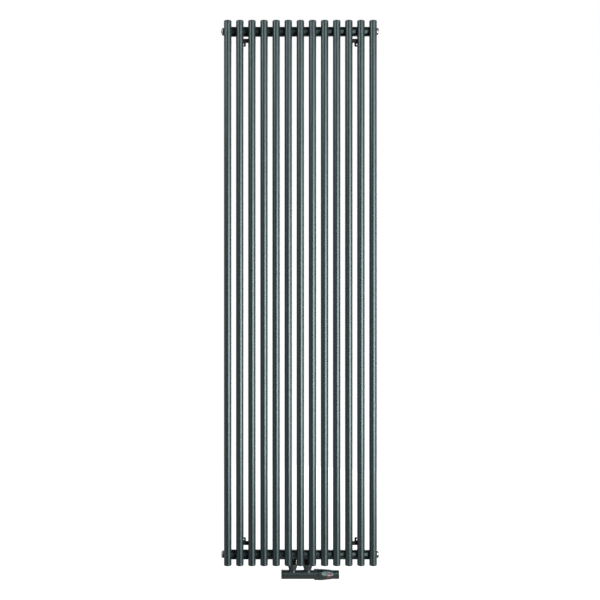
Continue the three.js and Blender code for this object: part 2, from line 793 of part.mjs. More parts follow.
const CORNERS = [
  { tag: 'top_left', sideX: -1, sideZ: 1, z: HANGER_TOP_Z },
  { tag: 'top_right', sideX: 1, sideZ: 1, z: HANGER_TOP_Z },
  { tag: 'bottom_left', sideX: -1, sideZ: -1, z: HANGER_BOTTOM_Z },
  { tag: 'bottom_right', sideX: 1, sideZ: -1, z: HANGER_BOTTOM_Z },
];

function wallFixings() {
  const group = new THREE.Group();
  for (const { tag, sideX, z } of CORNERS) {
    group.add(part(`wall_sleeve_${tag}`, wallSleeve(), ZINC, sideX * PEG_X, 0, z));
    group.add(part(`grub_screw_${tag}`, grubScrew(), ZINC, sideX * PEG_X, 0, z));
  }
  return group;
}

function panel() {
  const group = new THREE.Group();
  for (let i = 0; i < TUBE_COUNT; i++) {
    const name = `tube_${String(i + 1).padStart(2, '0')}`;
    group.add(part(name, tube(), ANTHRACITE, tubeX(i), TUBE_Y, 0));
  }
  group.add(part('header_top', header(false), ANTHRACITE, 0, HEADER_Y, HEADER_Z));
  group.add(part('header_bottom', header(true), ANTHRACITE, 0, HEADER_Y, -HEADER_Z));
  for (const { tag, sideX, sideZ, z } of CORNERS) {
    group.add(part(`hanger_${tag}`, hanger(sideX, sideZ), BLACK_PAINT, 0, 0, z));
  }
  return group;
}

function headerEnds() {
  const group = new THREE.Group();
  for (const { tag, sideX, sideZ } of CORNERS) {
    const fittings = new THREE.Group();
    fittings.position.set(0, HEADER_Y, sideZ * HEADER_Z);
    fittings.add(part(`end_seal_${tag}`, endSeal(sideX), RUBBER));
    if (tag === 'top_left') {
      fittings.add(part('vent_body', ventBody(sideX), NICKEL));
      fittings.add(part('vent_collar', ventCollar(sideX), NICKEL));
      fittings.add(part('vent_screw', ventScrew(sideX), NICKEL));
    } else {
      fittings.add(part(`end_plug_${tag}`, endPlug(sideX), NICKEL));
    }
    group.add(fittings);
  }
  return group;
}

function unions() {
  const group = new THREE.Group();
  for (const [tag, x] of [['left', -PORT_X], ['right', PORT_X]]) {
    group.add(part(`nipple_${tag}`, nipple(), NICKEL, x, VALVE_Y, 0));
    group.add(part(`union_seal_${tag}`, unionSeal(), RUBBER, x, VALVE_Y, 0));
    group.add(part(`union_nut_${tag}`, unionNut(), ANTHRACITE, x, VALVE_Y, 0));
  }
  return group;
}

function valve() {
  const group = new THREE.Group();
  group.position.set(0, VALVE_Y, VALVE_Z);
  group.add(part('valve_body', valveBody(), ANTHRACITE));
  group.add(part('insert_body', insertBody(), BRASS));
  group.add(part('insert_gland', insertGland(), BRASS));
  group.add(part('insert_stem', insertStem(), NICKEL));
  group.add(part('insert_spring', insertSpring(), SPRING_STEEL));
  group.add(part('head_nut', headNut(), GREY_PLASTIC));
  group.add(part('head_carrier', headCarrier(), WHITE_PLASTIC));
  group.add(part('sensor_capsule', sensorCapsule(), WHITE_PLASTIC));
  group.add(part('head_handle', headHandle(), GREY_PLASTIC));
  group.add(part('lockshield_insert', lockshieldInsert(), BRASS));
  group.add(part('lockshield_spindle', lockshieldSpindle(), BRASS));
  group.add(part('lockshield_cone', lockshieldCone(), BRASS));
  group.add(part('lockshield_cap', lockshieldCap(), ANTHRACITE));
  return group;
}

const radiator = new THREE.Group();
radiator.name = 'radiator_with_valve';
radiator.add(wallFixings(), panel(), headerEnds(), unions(), valve());

export default radiator;
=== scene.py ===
# The looks of a tall tube radiator with a twin-port valve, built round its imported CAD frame.
# The frame and every Blender object are in metres. Profiles are written in millimetres and scaled
# by MM where they become vertices. -Y points into the room, +Y into the wall and +Z up.

import json
import math

import bmesh
import bpy
from mathutils import Matrix, Vector

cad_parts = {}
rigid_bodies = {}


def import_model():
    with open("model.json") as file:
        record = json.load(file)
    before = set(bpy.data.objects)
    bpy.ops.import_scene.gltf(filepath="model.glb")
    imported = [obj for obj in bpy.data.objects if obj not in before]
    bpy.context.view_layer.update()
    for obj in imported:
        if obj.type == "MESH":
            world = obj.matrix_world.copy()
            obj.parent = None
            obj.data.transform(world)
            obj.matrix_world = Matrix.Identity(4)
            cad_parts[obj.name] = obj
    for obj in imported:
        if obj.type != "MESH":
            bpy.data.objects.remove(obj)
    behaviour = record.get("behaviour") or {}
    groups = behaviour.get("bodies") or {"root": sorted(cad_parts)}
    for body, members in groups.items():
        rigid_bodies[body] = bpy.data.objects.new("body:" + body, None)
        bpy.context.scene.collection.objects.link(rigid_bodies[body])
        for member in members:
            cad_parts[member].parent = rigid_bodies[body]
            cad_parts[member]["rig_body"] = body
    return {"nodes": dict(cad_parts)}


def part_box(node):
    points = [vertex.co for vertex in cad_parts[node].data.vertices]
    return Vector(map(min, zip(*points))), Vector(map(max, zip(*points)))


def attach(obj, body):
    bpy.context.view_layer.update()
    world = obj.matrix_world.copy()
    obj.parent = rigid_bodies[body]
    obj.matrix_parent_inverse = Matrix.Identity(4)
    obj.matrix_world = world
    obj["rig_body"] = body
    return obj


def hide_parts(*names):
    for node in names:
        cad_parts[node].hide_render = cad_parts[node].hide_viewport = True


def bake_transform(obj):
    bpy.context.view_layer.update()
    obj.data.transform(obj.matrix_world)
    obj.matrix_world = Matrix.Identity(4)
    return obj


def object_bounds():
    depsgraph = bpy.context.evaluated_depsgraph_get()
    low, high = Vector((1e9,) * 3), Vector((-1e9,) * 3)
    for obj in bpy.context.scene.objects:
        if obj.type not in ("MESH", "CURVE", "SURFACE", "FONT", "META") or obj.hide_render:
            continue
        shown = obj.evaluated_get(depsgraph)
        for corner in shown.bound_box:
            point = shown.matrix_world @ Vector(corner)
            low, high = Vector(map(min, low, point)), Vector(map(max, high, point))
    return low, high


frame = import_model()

cad_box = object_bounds()
scene = bpy.context.scene
MM = 0.001
X = Vector((1, 0, 0))
Y = Vector((0, 1, 0))
Z = Vector((0, 0, 1))


# ---------------- places, read from the frame

def nodes_named(prefix):
    return sorted(node for node in frame["nodes"] if node.startswith(prefix))


def middle(node):
    low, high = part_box(node)
    return (low + high) / 2


def size_mm(node):
    low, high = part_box(node)
    return (high - low) / MM


def on_axis(node, direction):
    """Where a round node's axis leaves the node, at the end that direction points away from."""
    low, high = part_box(node)
    half = abs((high - low).dot(direction)) / 2
    return middle(node) - direction * half


def body_of(node):
    return frame["nodes"][node]["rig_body"]


def on_valve_axis(x):
    return Vector((x, VALVE.y, VALVE.z))


TUBES = nodes_named("tube_")
TUBE_RADIUS = size_mm(TUBES[0]).x / 2
TUBE_Y = middle(TUBES[0]).y / MM
HEADER_RADIUS = size_mm("header_top").z / 2
HEADER_Y = middle("header_top").y / MM
STRIP_HEIGHT = 13
HANGER_THICK = 5
HANGER_FRONT_Y = TUBE_Y + TUBE_RADIUS + 0.3
BARREL_RADIUS = size_mm("lockshield_cap").z / 2
VALVE = middle("head_handle")  # its Y and Z are the valve's axis
UNION_FEET = [on_valve_axis(middle(f"nipple_{side}").x) for side in ("left", "right")]
TAIL_TOP = (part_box("valve_body")[1].z - VALVE.z) / MM
REAR_REACH = (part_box("valve_body")[1].y - VALVE.y) / MM
TAPPED_BORE = 10.5
PIPE_THREAD_RADIUS = 10.15
PIPE_THREAD_PITCH = 1.8


# ---------------- node materials

class Nodes:
    """A short way to write a node tree."""

    def __init__(self, tree):
        self.tree = tree

    def add(self, kind, inputs=None, **settings):
        node = self.tree.nodes.new(kind)
        for key, value in settings.items():
            setattr(node, key, value)
        for key, value in (inputs or {}).items():
            self.put(node.inputs[key], value)
        return node

    def put(self, socket, value):
        if isinstance(value, bpy.types.NodeSocket):
            self.tree.links.new(value, socket)
        else:
            socket.default_value = value

    def between(self, value, low, high, start=0.3, end=0.7):
        inputs = {"Value": value, "From Min": start, "From Max": end, "To Min": low, "To Max": high}
        return self.add("ShaderNodeMapRange", inputs).outputs["Result"]


class MaterialNodes(Nodes):
    """A new material's node tree, with its shader and its object coordinates."""

    def __init__(self, name):
        self.material = bpy.data.materials.new(name)
        self.material.use_nodes = True
        super().__init__(self.material.node_tree)
        self.shader = self.tree.nodes["Principled BSDF"]
        self.place = self.add("ShaderNodeTexCoord").outputs["Object"]

    def set(self, **values):
        for key, value in values.items():
            self.put(self.shader.inputs[key.replace("_", " ")], value)

    def stretched(self, scale):
        return self.add("ShaderNodeMapping", {"Vector": self.place, "Scale": scale}).outputs["Vector"]

    def noise(self, scale, detail=2.0, roughness=0.5, vector=None):
        inputs = {"Vector": vector or self.place, "Scale": scale, "Detail": detail, "Roughness": roughness}
        return self.add("ShaderNodeTexNoise", inputs).outputs["Fac"]

    def colours(self, value, *stops):
        """A colour ramp; each stop is (position, linear colour)."""
        ramp = self.add("ShaderNodeValToRGB", {"Fac": value})
        points = ramp.color_ramp.elements
        while len(points) < len(stops):
            points.new(1.0)
        for point, (position, colour) in zip(points, stops):
            point.position = position
            point.color = (*colour, 1)
        return ramp.outputs["Color"]

    def bump(self, height, strength, distance, normal=None):
        inputs = {"Height": height, "Strength": strength, "Distance": distance}
        if normal:
            inputs["Normal"] = normal
        return self.add("ShaderNodeBump", inputs).outputs["Normal"]


def shade(colour, factor):
    return tuple(c * factor for c in colour)


def cool_gloss(nodes):
    """The strong, slightly blue gloss that flakes give to paint and plastic."""
    nodes.set(Specular_IOR_Level=0.9, Specular_Tint=(0.76, 0.96, 1.0, 1))


def powder_coat(name, colour, roughness, peel, flakes=True):
    """Powder coat: a slightly wavy skin with fine grit, and a tint that drifts along the piece."""
    nodes = MaterialNodes(name)
    drift = nodes.noise(5.0, detail=3.0)
    grit = nodes.noise(2600.0, detail=1.0)
    skin = nodes.noise(420.0, detail=2.0)
    nodes.set(
        Base_Color=nodes.colours(drift, (0.3, shade(colour, 0.93)), (0.7, shade(colour, 1.07))),
        Roughness=nodes.between(grit, roughness - 0.04, roughness + 0.05),
        Normal=nodes.bump(grit, 0.06, 0.00008, nodes.bump(skin, peel, 0.0003)),
    )
    if flakes:
        cool_gloss(nodes)
    return nodes.material


def turned_metal(name, colour, roughness, lines):
    """Plated or bare metal off a lathe: fine lines across the turning axis, tarnish and small scuffs.
    lines is the stretch of the grain: high along the axis that the piece was turned about."""
    nodes = MaterialNodes(name)
    grain = nodes.noise(40.0, detail=3.0, vector=nodes.stretched(lines))
    tarnish = nodes.noise(70.0, detail=4.0, roughness=0.6)
    nodes.set(
        Base_Color=nodes.colours(tarnish, (0.32, shade(colour, 0.86)), (0.6, colour)),
        Roughness=nodes.between(grain, roughness - 0.05, roughness + 0.08),
        Normal=nodes.bump(grain, 0.12, 0.00005),
        Metallic=1.0,
    )
    return nodes.material


def zinc_plate(name):
    """Zinc plate, with faint crystals and a cloudy passivated tint."""
    nodes = MaterialNodes(name)
    crystals = nodes.add("ShaderNodeTexVoronoi", {"Vector": nodes.place, "Scale": 260.0}).outputs["Color"]
    cloud = nodes.noise(55.0, detail=3.0)
    tints = ((0.3, (0.46, 0.48, 0.5)), (0.55, (0.56, 0.57, 0.56)), (0.75, (0.6, 0.58, 0.52)))
    nodes.set(
        Base_Color=nodes.colours(cloud, *tints),
        Roughness=nodes.between(crystals, 0.3, 0.44, 0.0, 1.0),
        Normal=nodes.bump(nodes.noise(900.0), 0.08, 0.00006),
        Metallic=1.0,
    )
    return nodes.material


def moulded_plastic(name, colour, roughness, texture, flakes=False):
    """Moulded plastic with a spark-eroded grain and a slight flow tint."""
    nodes = MaterialNodes(name)
    grain = nodes.noise(1900.0, detail=2.0)
    flow = nodes.noise(28.0, detail=2.0)
    nodes.set(
        Base_Color=nodes.colours(flow, (0.3, shade(colour, 0.95)), (0.7, shade(colour, 1.05))),
        Roughness=nodes.between(grain, roughness - 0.05, roughness + 0.06),
        Normal=nodes.bump(grain, texture, 0.00008),
    )
    if flakes:
        cool_gloss(nodes)
    return nodes.material


def black_rubber(name):
    nodes = MaterialNodes(name)
    dust = nodes.noise(500.0, detail=4.0, roughness=0.7)
    nodes.set(
        Base_Color=nodes.colours(dust, (0.4, (0.012, 0.012, 0.013)), (0.75, (0.035, 0.035, 0.034))),
        Roughness=nodes.between(dust, 0.55, 0.75),
        Normal=nodes.bump(dust, 0.15, 0.0001),
    )
    return nodes.material


def printed_ink(name, colour):
    nodes = MaterialNodes(name)
    cover = nodes.noise(700.0, detail=3.0)
    nodes.set(
        Base_Color=nodes.colours(cover, (0.25, shade(colour, 0.85)), (0.6, colour)),
        Roughness=nodes.between(cover, 0.32, 0.46),
        Normal=nodes.bump(cover, 0.05, 0.00005),
    )
    return nodes.material


ANTHRACITE = (0.0105, 0.017, 0.0175)
PANEL_PAINT = powder_coat("panel_paint", ANTHRACITE, 0.32, 0.09)
HANGER_PAINT = powder_coat("hanger_paint", (0.005, 0.006, 0.0065), 0.45, 0.1, flakes=False)
VALVE_PAINT = powder_coat("valve_paint", (0.012, 0.016, 0.016), 0.3, 0.07)
ALONG_X = (60, 4, 4)
ALONG_Y = (4, 60, 4)
ALONG_Z = (4, 4, 60)
BRASS_COLOUR = (0.66, 0.45, 0.19)
NICKEL = turned_metal("nickel", (0.62, 0.59, 0.52), 0.24, ALONG_X)
# The nipples' nickel is darkened nearly to black. This is painted shade for the dark gap between the
# header and the nuts, not the metal's own colour.
NIPPLE_NICKEL_PAINTED_SHADE = turned_metal("nipple_nickel_painted_shade", (0.06, 0.057, 0.048), 0.26, ALONG_Z)
BRASS = turned_metal("brass", BRASS_COLOUR, 0.28, ALONG_X)
PORT_BRASS = turned_metal("port_brass", BRASS_COLOUR, 0.28, ALONG_Y)
SPRING_STEEL = turned_metal("spring_steel", (0.5, 0.5, 0.51), 0.25, ALONG_X)
ZINC = zinc_plate("zinc_steel")
HEAD_PLASTIC = moulded_plastic("head_plastic", ANTHRACITE, 0.27, 0.04, flakes=True)
WHITE_PLASTIC = moulded_plastic("white_plastic", (0.76, 0.76, 0.73), 0.45, 0.06)
RUBBER = black_rubber("seal_rubber")
RED_INK = printed_ink("red_ink", (0.135, 0.031, 0.027))
PALE_INK = printed_ink("pale_ink", (0.4, 0.24, 0.23))


# ---------------- mesh building

def smooth(mesh, smooth_below):
    """Smooth shading, with the edges that turn by more than smooth_below degrees kept sharp."""
    for polygon in mesh.polygons:
        polygon.use_smooth = True
    mesh.set_sharp_from_angle(angle=math.radians(smooth_below))


def new_object(name, mesh, material, smooth_below=32):
    smooth(mesh, smooth_below)
    if material is not None:
        mesh.materials.clear()
        mesh.materials.append(material)
    obj = bpy.data.objects.new(name, mesh)
    scene.collection.objects.link(obj)
    return obj


def face_outwards(mesh, weld=0.0):
    """Turns every face outwards, once points closer than weld are merged."""
    work = bmesh.new()
    work.from_mesh(mesh)
    if weld:
        bmesh.ops.remove_doubles(work, verts=work.verts, dist=weld)
    bmesh.ops.recalc_face_normals(work, faces=work.faces)
    work.to_mesh(mesh)
    work.free()


def from_faces(name, vertices, faces, material, smooth_below=32):
    """An object from millimetre vertices."""
    mesh = bpy.data.meshes.new(name)
    mesh.from_pydata([v * MM for v in vertices], [], faces)
    face_outwards(mesh)
    return new_object(name, mesh, material, smooth_below)


def corner_arc(before, corner, after, reach, steps):
    """Points of a curve that rounds one corner of a profile, reach away from it on both sides."""
    here = Vector(corner)
    to_before = Vector(before) - here
    to_after = Vector(after) - here
    reach = min(reach, to_before.length / 2, to_after.length / 2)
    first = here + to_before.normalized() * reach
    last = here + to_after.normalized() * reach
    arc = []
    for i in range(steps + 1):
        t = i / steps
        arc.append(tuple(first * (1 - t) ** 2 + here * 2 * t * (1 - t) + last * t ** 2))
    return arc


def rounded(profile, loop, steps=4):
    """A profile of (along, radius) or (along, radius, rounding) points, with its corners rounded."""
    result = []
    count = len(profile)
    for i, point in enumerate(profile):
        at_end = not loop and i in (0, count - 1)
        reach = point[2] if len(point) > 2 else 0
        if at_end or reach == 0:
            result.append((point[0], point[1]))
        else:
            after = profile[(i + 1) % count]
            result += corner_arc(profile[i - 1][:2], point[:2], after[:2], reach, steps)
    return result


def divided(profile, loop, spacing):
    """The same profile, with points at most spacing apart."""
    result = []
    count = len(profile)
    for i in range(count if loop else count - 1):
        a = Vector(profile[i])
        b = Vector(profile[(i + 1) % count])
        pieces = max(1, math.ceil((b - a).length / spacing))
        result += [tuple(a.lerp(b, j / pieces)) for j in range(pieces)]
    if not loop:
        result.append(profile[-1])
    return result


def revolve(profile, origin, direction, zero, segments, loop, shape):
    """Vertices and faces of a turned profile. Angles start at zero; shape may change each radius."""
    side = zero.cross(direction)
    base = origin / MM
    vertices = []
    rows = []
    for along, radius in profile:
        centre = base + direction * along
        if radius < 1e-6:
            rows.append([len(vertices)])
            vertices.append(centre)
            continue
        rows.append(list(range(len(vertices), len(vertices) + segments)))
        for k in range(segments):
            angle = 2 * math.pi * k / segments
            reach = shape(angle, along, radius) if shape else radius
            vertices.append(centre + (zero * math.cos(angle) + side * math.sin(angle)) * reach)
    faces = []
    for i in range(len(rows) if loop else len(rows) - 1):
        a = rows[i]
        b = rows[(i + 1) % len(rows)]
        for k in range(segments):
            n = (k + 1) % segments
            if len(a) == 1 and len(b) == 1:
                continue
            if len(a) == 1:
                faces.append((a[0], b[n], b[k]))
            elif len(b) == 1:
                faces.append((a[k], a[n], b[0]))
            else:
                faces.append((a[k], a[n], b[n], b[k]))
    return vertices, faces


def turned(name, material, origin, direction, profile, segments=64, loop=False, shape=None, spacing=None):
    """A turned piece. The profile is in millimetres from origin, along direction."""
    zero = -Y if abs(direction.y) < 0.5 else X
    points = rounded(profile, loop)
    if spacing:
        points = divided(points, loop, spacing)
    vertices, faces = revolve(points, origin, direction, zero, segments, loop, shape)
    return from_faces(name, vertices, faces, material)


def solid(*steps):
    """A profile from axis to axis."""
    return [(steps[0][0], 0), *steps, (steps[-1][0], 0)]


def merged(name, objects):
    """One object from several, keeping their materials and sharp edges."""
    bpy.ops.object.select_all(action="DESELECT")
    for obj in objects:
        obj.select_set(True)
    bpy.context.view_layer.objects.active = objects[0]
    bpy.ops.object.join()
    objects[0].name = name
    objects[0].data.name = name
    return objects[0]


def applied(obj, smooth_below=32):
    """The same object with its modifiers made real."""
    graph = bpy.context.evaluated_depsgraph_get()
    mesh = bpy.data.meshes.new_from_object(obj.evaluated_get(graph))
    smooth(mesh, smooth_below)
    obj.modifiers.clear()
    obj.data = mesh
    return obj


def combine(obj, others, operation, smooth_below=32):
    """Joins or cuts obj with the other objects, which are removed."""
    for i, other in enumerate(others):
        modifier = obj.modifiers.new(f"boolean_{i}", "BOOLEAN")
        modifier.operation = operation
        modifier.solver = "EXACT"
        modifier.object = other
    applied(obj, smooth_below)
    for other in others:
        bpy.data.objects.remove(other)
    return obj


def ring_faces(count, section, loop=False):
    """The faces between count rings of section points each."""
    faces = []
    for i in range(count if loop else count - 1):
        a = i * section
        b = ((i + 1) % count) * section
        for k in range(section):
            n = (k + 1) % section
            faces.append((a + k, a + n, b + n, b + k))
    return faces


def swept(points, across_from, reach, loop=False):
    """Vertices and faces of a round bar along millimetre points. Its radius at point i is reach(i)."""
    section = 10
    count = len(points)
    vertices = []
    for i, point in enumerate(points):
        before = points[(i - 1) % count] if loop or i else point
        after = points[(i + 1) % count] if loop or i < count - 1 else point
        tangent = (after - before).normalized()
        across = tangent.cross(across_from).normalized()
        up = tangent.cross(across)
        for k in range(section):
            angle = 2 * math.pi * k / section
            vertices.append(point + (across * math.cos(angle) + up * math.sin(angle)) * reach(i))
    faces = ring_faces(count, section, loop)
    if not loop:
        faces.append(tuple(range(section)))
        faces.append(tuple(range((count - 1) * section, count * section)))
    return vertices, faces


def bead(name, material, points, radius, ripple, loop):
    """A weld bead along millimetre points. Its radius ripples as a hand weld's does."""
    def reach(i):
        taper = 1.0 if loop else math.sin(math.pi * (i + 0.5) / len(points)) ** 0.3
        return radius * taper * (1 + ripple * math.sin(i * math.pi / 2))

    return from_faces(name, *swept(points, Y, reach, loop), material, smooth_below=60)


def finish(obj, body, slot, *nodes):
    """Says what a piece rides on and which CAD nodes it stands for. Its slot is not used."""
    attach(obj, body)
    if nodes:
        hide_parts(*nodes)


def replace(obj, slot, node):
    finish(obj, body_of(node), slot, node)


def turned_node(node, suffix, material, slot, direction, profile, **options):
    """A piece turned about its node's own axis, from the end that direction points away from."""
    start = on_axis(node, direction)
    replace(turned(f"{node}_{suffix}", material, start, direction, profile, **options), slot, node)


# ---------------- shapes that change a turned radius

def hexagon_factor(angle):
    """A hexagon's radius over its corner radius."""
    sixth = math.pi / 3
    return math.cos(sixth / 2) / math.cos(angle % sixth - sixth / 2)


def soft_min(a, b, blend):
    """The smaller of two lengths, with the edge between them rounded."""
    h = max(blend - abs(a - b), 0) / blend
    return min(a, b) - h * h * blend / 4


def thread(start, end, pitch, depth):
    """A V thread cut into the radius between two stations, running out at both ends."""
    def shape(angle, along, radius):
        inside = min(along - start, end - along)
        if inside <= 0:
            return radius
        phase = (along / pitch - angle / (2 * math.pi)) % 1
        runout = min(1.0, inside / pitch)
        return radius - depth * runout * (1 - abs(2 * phase - 1))
    return shape


def threaded(cut, core):
    """A thread that leaves everything inside the core radius as it is."""
    def shape(angle, along, reach):
        return cut(angle, along, reach) if reach > core else reach
    return shape


# ---------------- panel: tubes, headers and their welds

def tube(node):
    """A tube with welded end caps: a soft rim, and the faint ring where the weld was ground flush."""
    length = size_mm(node).z
    rim = 3.6
    seam = 6.5
    groove = 0.12
    half = [
        (0, 0), (0.2, TUBE_RADIUS - 8), (0.5, TUBE_RADIUS, rim), (seam - 0.7, TUBE_RADIUS, 0.3),
        (seam, TUBE_RADIUS - groove, 0.3), (seam + 0.7, TUBE_RADIUS, 0.3),
    ]
    profile = half + [(length - point[0], *point[1:]) for point in reversed(half)]
    turned_node(node, "skin", PANEL_PAINT, "panel_paint", Z, profile, segments=72)


def header_shell(node):
    """A header pipe, open at its ends for the threaded fittings."""
    length = size_mm(node).x
    profile = [
        (0, TAPPED_BORE, 0.6), (0, HEADER_RADIUS, 0.9),
        (length, HEADER_RADIUS, 0.9), (length, TAPPED_BORE, 0.6),
    ]
    return turned(f"{node}_pipe", PANEL_PAINT, on_axis(node, X), X, profile, segments=96, loop=True)


def valve_bosses():
    """The two threaded bosses welded under the bottom header."""
    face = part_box("header_bottom")[0].z / MM
    axis = middle("header_bottom")
    reach = axis.z / MM - face
    boss_radius = 13
    parts = []
    for side in ("left", "right"):
        origin = Vector((middle(f"nipple_{side}").x, axis.y, face * MM))
        inner_end = reach - 6
        profile = [
            (0, TAPPED_BORE, 0.8), (0, boss_radius, 1.0),
            (inner_end, boss_radius), (inner_end, TAPPED_BORE),
        ]
        parts.append(turned(f"boss_{side}", PANEL_PAINT, origin, Z, profile, segments=72, loop=True))
        ring = []
        steps = 72
        for i in range(steps):
            angle = 2 * math.pi * i / steps
            across = boss_radius * math.sin(angle)
            height = -math.sqrt(HEADER_RADIUS ** 2 - across ** 2)
            x = origin.x / MM + boss_radius * math.cos(angle)
            ring.append(Vector((x, axis.y / MM + across, axis.z / MM + height)))
        parts.append(bead(f"boss_weld_{side}", PANEL_PAINT, ring, 1.1, 0.08, loop=True))
    return parts


def tube_welds(header, tube_node):
    """The bead round the saddle where one tube meets a header."""
    x = middle(tube_node).x / MM
    axis = middle(header) / MM
    depth = HEADER_Y - TUBE_Y
    widest = math.acos((depth - HEADER_RADIUS) / TUBE_RADIUS)
    steps = 56
    points = []
    for i in range(steps):
        turn = 2 * math.pi * i / steps
        swing = widest * math.sin(turn)
        y = TUBE_RADIUS * math.cos(swing) - depth
        height = math.sqrt(max(HEADER_RADIUS ** 2 - y * y, 0))
        z = height if math.cos(turn) > 0 else -height
        points.append(Vector((x + TUBE_RADIUS * math.sin(swing), axis.y + y, axis.z + z)))
    return bead(f"{header}_weld_{tube_node}", PANEL_PAINT, points, 1.5, 0.09, loop=True)


def headers():
    for node in ("header_top", "header_bottom"):
        parts = [header_shell(node)]
        if node == "header_bottom":
            parts += valve_bosses()
        replace(merged(f"{node}_pipe", parts), "panel_paint", node)
        welds = [tube_welds(node, tube_node) for tube_node in TUBES]
        finish(merged(f"{node}_welds", welds), body_of(node), "panel_paint")


# ---------------- hangers and wall sleeves

def flat_plate(name, material, outline, hole, thickness, back_y, edge):
    """A plate cut from strip: an outline in X and Z with one round hole, and softened edges."""
    curve = bpy.data.curves.new(name, "CURVE")
    curve.dimensions = "2D"
    curve.fill_mode = "BOTH"
    curve.extrude = (thickness / 2 - edge) * MM
    curve.bevel_depth = edge * MM
    curve.bevel_resolution = 2
    curve.offset = -edge * MM
    for path in (outline, hole):
        spline = curve.splines.new("POLY")
        spline.points.add(len(path) - 1)
        for point, (x, z) in zip(spline.points, path):
            point.co = (x * MM, z * MM, 0, 1)
        spline.use_cyclic_u = True
    flat = bpy.data.objects.new(name, curve)
    scene.collection.objects.link(flat)
    graph = bpy.context.evaluated_depsgraph_get()
    mesh = bpy.data.meshes.new_from_object(flat.evaluated_get(graph))
    bpy.data.objects.remove(flat)
    lift = Matrix.Translation((0, (back_y - thickness / 2) * MM, 0))
    mesh.transform(lift @ Matrix.Rotation(math.pi / 2, 4, "X"))
    face_outwards(mesh, weld=0.005 * MM)
    return new_object(name, mesh, material)


def arc(centre, radius, start, end, steps):
    """Points of an arc; angles in degrees."""
    points = []
    for i in range(steps + 1):
        angle = math.radians(start + (end - start) * i / steps)
        points.append((centre[0] + radius * math.cos(angle), centre[1] + radius * math.sin(angle)))
    return points


def hanger(node):
    """A strip welded across two tubes, with a tab that holds the eye and a peg for the wall sleeve."""
    low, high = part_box(node)
    inner, outer = sorted((low.x / MM, high.x / MM), key=abs)
    tab_end, top = sorted((low.z / MM, high.z / MM), key=abs)
    side = 1 if outer > 0 else -1
    up = 1 if top > 0 else -1
    bottom = top - up * STRIP_HEIGHT
    tab_half = 9.3
    corner = 2.5
    eye_x = outer - side * 23.5
    eye_z = tab_end + up * 7
    eye_radius = 3.4

    def tab_point(across, z):
        return (eye_x + side * across, tab_end + up * z)

    outline = [(inner, bottom), tab_point(-tab_half, up * (bottom - tab_end))]
    outline += [tab_point(x, z) for x, z in arc((corner - tab_half, corner), corner, 180, 270, 6)]
    outline += [tab_point(x, z) for x, z in arc((tab_half - corner, corner), corner, 270, 360, 6)]
    outline += [tab_point(tab_half, up * (bottom - tab_end)), (outer, bottom), (outer, top)]
    outline.append((inner, top))
    hole = arc((eye_x, eye_z), eye_radius, 0, 352, 44)
    back_y = HANGER_FRONT_Y + HANGER_THICK
    plate = flat_plate(f"{node}_plate", HANGER_PAINT, outline, hole, HANGER_THICK, back_y, 0.6)
    sleeve = node.replace("hanger", "wall_sleeve")
    origin = Vector((middle(sleeve).x, (back_y - 1) * MM, middle(sleeve).z))
    peg_radius = 5
    length = high.y / MM - back_y + 1
    profile = solid((0, peg_radius + 1.6), (1.6, peg_radius + 0.9, 0.8), (3, peg_radius, 0.8),
                    (length - 1, peg_radius, 0.3), (length, peg_radius - 1, 0.3))
    peg = turned(f"{node}_peg", HANGER_PAINT, origin, Y, profile, segments=48)
    replace(merged(f"{node}_plate", [plate, peg]), "hanger_paint", node)


def hanger_welds(node):
    """Two upright beads where each of the two tubes touches the strip."""
    low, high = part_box(node)
    start = (high.z / MM - STRIP_HEIGHT if high.z > 0 else low.z / MM) + 1
    steps = 24
    offset = 3.6
    beads = []
    for tube_node in TUBES:
        x = middle(tube_node).x / MM
        if not low.x / MM - 5 < x < high.x / MM + 5:
            continue
        for across in (-offset, offset):
            points = []
            for i in range(steps + 1):
                z = start + (STRIP_HEIGHT - 2) * i / steps
                points.append(Vector((x + across, HANGER_FRONT_Y - 0.6, z)))
            beads.append(bead(f"{node}_weld", HANGER_PAINT, points, 1.3, 0.1, loop=False))
    finish(merged(f"{node}_welds", beads), body_of(node), "hanger_paint")


def wall_sleeve(node):
    """A turned sleeve with a chamfered mouth, a shadow groove at the wall and the clamp screw's hole."""
    length = size_mm(node).y
    radius = size_mm(node).x / 2
    bore = 5.3
    base = 10
    screw_hole = 2.75
    profile = [
        (0, bore + 0.6, 0.3), (0, radius - 0.8, 0.3), (0.8, radius, 0.3),
        (length - 5, radius, 0.2), (length - 5, radius - 0.5, 0.2), (length - 4, radius - 0.5, 0.2),
        (length - 4, radius, 0.2), (length, radius, 0.3), (length, screw_hole, 0.3),
        (length - base, screw_hole, 0.2), (length - base, bore), (0.6, bore, 0.2),
    ]
    obj = turned(f"{node}_body", ZINC, on_axis(node, Y), Y, profile, segments=64, loop=True)
    screw = node.replace("wall_sleeve", "grub_screw")
    origin = Vector((middle(screw).x, middle(screw).y, middle(node).z - (radius + 2) * MM))
    hole = turned("hole", None, origin, Z, solid((0, 3.0), (2.4, 2.7), (radius, 2.7)), segments=32)
    replace(combine(obj, [hole], "DIFFERENCE"), "zinc_steel", node)


def grub_screw(node):
    """A grub screw with a thread, and a key socket that opens downwards."""
    height = size_mm(node).z
    radius = size_mm(node).x / 2
    socket = 1.45
    deep = 2
    profile = [
        (deep, 0), (deep, socket), (0, socket), (0, radius - 0.3), (0.3, radius), (height - 0.6, radius),
        (height, radius - 0.6), (height, 0),
    ]
    cut = thread(0.4, height - 0.5, 0.8, 0.3)

    # The profile's points are rounded to 32 bits, a hair above socket, so its wall is threaded too.
    def shape(angle, along, reach):
        if reach > socket:
            reach = cut(angle, along, reach)
        return reach * hexagon_factor(angle) if reach <= socket else reach

    turned_node(node, "screw", ZINC, "zinc_steel", Z, profile, segments=48, shape=shape, spacing=0.14)


# ---------------- fittings in the header ends

def outward(node):
    """The direction that leaves the header at this fitting's end."""
    return X if middle(node).x > 0 else -X


